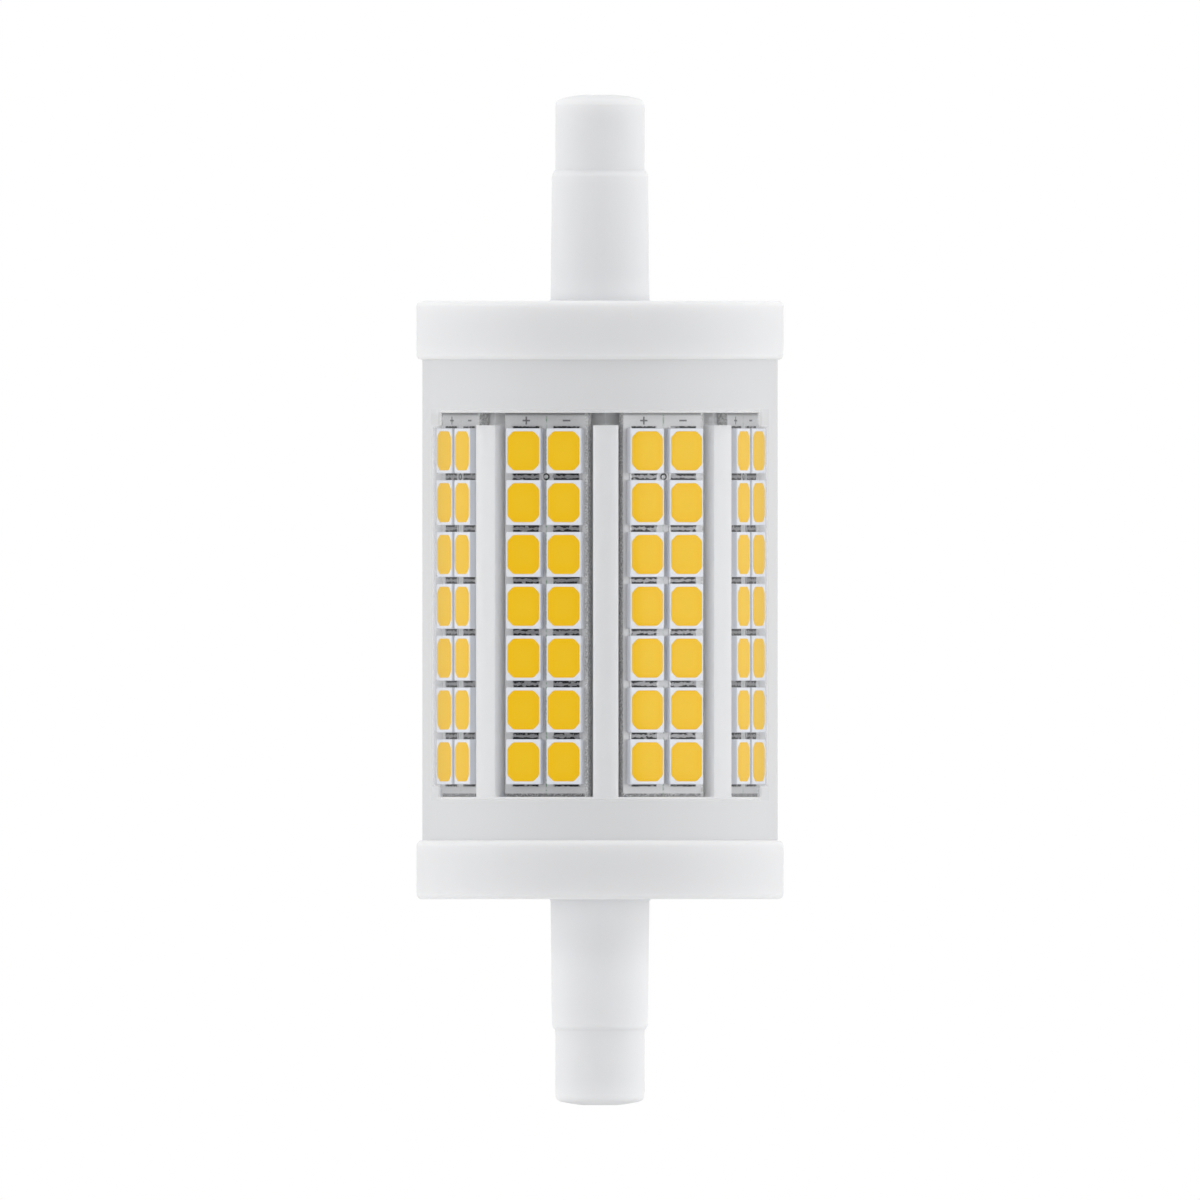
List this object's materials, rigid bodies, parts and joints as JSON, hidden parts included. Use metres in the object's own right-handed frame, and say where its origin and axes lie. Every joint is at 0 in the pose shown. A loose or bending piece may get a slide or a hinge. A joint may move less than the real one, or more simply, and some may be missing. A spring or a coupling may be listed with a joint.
{
  "type": "linear led bulb",
  "caption": "Double-ended tubular LED lamp: clear tube over ribbed strips of LEDs, white end caps, and necks whose tips hold sunk contacts.",
  "frame": {"origin": "middle of the lamp on its axis, half way between the two end faces", "axes": "+Z along the lamp's axis to the end with the collar, -Y to the rib at the front"},
  "size_m": [0.0284, 0.0284, 0.078],
  "materials": {
    "cap_plastic": "satin white moulding",
    "carrier_plastic": "satin white moulding",
    "clear_plastic": "clear",
    "contact_metal": "plated",
    "strip_board": "white solder mask",
    "led_white": "white moulding",
    "led_phosphor": "silicone with phosphor",
    "link_board": "white solder mask",
    "driver_board": "solder mask",
    "fuse_case": "moulded case",
    "capacitor_sleeve": "shrunk sleeve",
    "film_case": "moulded case",
    "chip_case": "moulded case",
    "choke_ferrite": "ferrite",
    "lead_metal": "plated strip"
  },
  "bodies": {
    "root": {"upper_cap": "cap_plastic", "lower_cap": "cap_plastic", "upper_contact": "contact_metal", "lower_contact": "contact_metal", "clear_tube": "clear_plastic", "led_carrier": "carrier_plastic", "link_board": "link_board", "driver_board": "driver_board", "fuse": "fuse_case", "smoothing_capacitor": "capacitor_sleeve", "film_capacitor": "film_case", "bridge_rectifier": "chip_case", "driver_chip": "chip_case", "choke": "choke_ferrite", "upper_lead": "lead_metal", "lower_lead": "lead_metal", "led_board_1": "strip_board", "led_packages_1": "led_white", "led_phosphors_1": "led_phosphor", "led_board_2": "strip_board", "led_packages_2": "led_white", "led_phosphors_2": "led_phosphor", "led_board_3": "strip_board", "led_packages_3": "led_white", "led_phosphors_3": "led_phosphor", "led_board_4": "strip_board", "led_packages_4": "led_white", "led_phosphors_4": "led_phosphor", "led_board_5": "strip_board", "led_packages_5": "led_white", "led_phosphors_5": "led_phosphor", "led_board_6": "strip_board", "led_packages_6": "led_white", "led_phosphors_6": "led_phosphor", "led_board_7": "strip_board", "led_packages_7": "led_white", "led_phosphors_7": "led_phosphor", "led_board_8": "strip_board", "led_packages_8": "led_white", "led_phosphors_8": "led_phosphor"}
  },
  "joints": []
}
